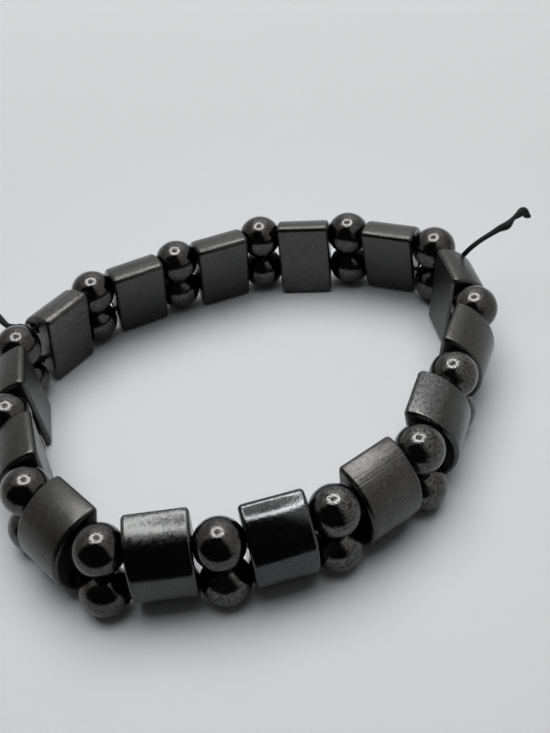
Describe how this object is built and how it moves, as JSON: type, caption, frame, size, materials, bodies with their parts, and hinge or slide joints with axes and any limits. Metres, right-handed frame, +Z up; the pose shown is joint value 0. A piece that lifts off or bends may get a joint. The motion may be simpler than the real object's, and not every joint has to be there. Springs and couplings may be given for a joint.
{
  "type": "beaded stretch bracelet",
  "caption": "Stretch bracelet of polished dark half round bar beads between stacked round beads, on elastic threads, lying as a closed loop with loose thread ends.",
  "frame": {"origin": "middle of the bead loop in plan, on the surface that the lower round beads rest on", "axes": "+X to the right as it is pictured, +Y away from the viewer, +Z up off the surface"},
  "size_m": [0.0787, 0.0621, 0.0132],
  "materials": {
    "bar_stone": "polished metallic black hematite, with fine grinding lines",
    "round_stone": "mirror polished metallic black hematite",
    "elastic": "satin black elastic thread"
  },
  "bodies": {
    "root": {"bar_bead_1": "bar_stone", "bar_bead_2": "bar_stone", "bar_bead_3": "bar_stone", "bar_bead_4": "bar_stone", "bar_bead_5": "bar_stone", "bar_bead_6": "bar_stone", "bar_bead_7": "bar_stone", "bar_bead_8": "bar_stone", "bar_bead_9": "bar_stone", "bar_bead_10": "bar_stone", "bar_bead_11": "bar_stone", "bar_bead_12": "bar_stone", "bar_bead_13": "bar_stone", "bar_bead_14": "bar_stone", "upper_round_1": "round_stone", "upper_round_2": "round_stone", "upper_round_3": "round_stone", "upper_round_4": "round_stone", "upper_round_5": "round_stone", "upper_round_6": "round_stone", "upper_round_7": "round_stone", "upper_round_8": "round_stone", "upper_round_9": "round_stone", "upper_round_10": "round_stone", "upper_round_11": "round_stone", "upper_round_12": "round_stone", "upper_round_13": "round_stone", "upper_round_14": "round_stone", "lower_round_1": "round_stone", "lower_round_2": "round_stone", "lower_round_3": "round_stone", "lower_round_4": "round_stone", "lower_round_5": "round_stone", "lower_round_6": "round_stone", "lower_round_7": "round_stone", "lower_round_8": "round_stone", "lower_round_9": "round_stone", "lower_round_10": "round_stone", "lower_round_11": "round_stone", "lower_round_12": "round_stone", "lower_round_13": "round_stone", "lower_round_14": "round_stone", "upper_elastic": "elastic", "lower_elastic": "elastic", "right_tail": "elastic", "left_tail": "elastic"}
  },
  "joints": []
}
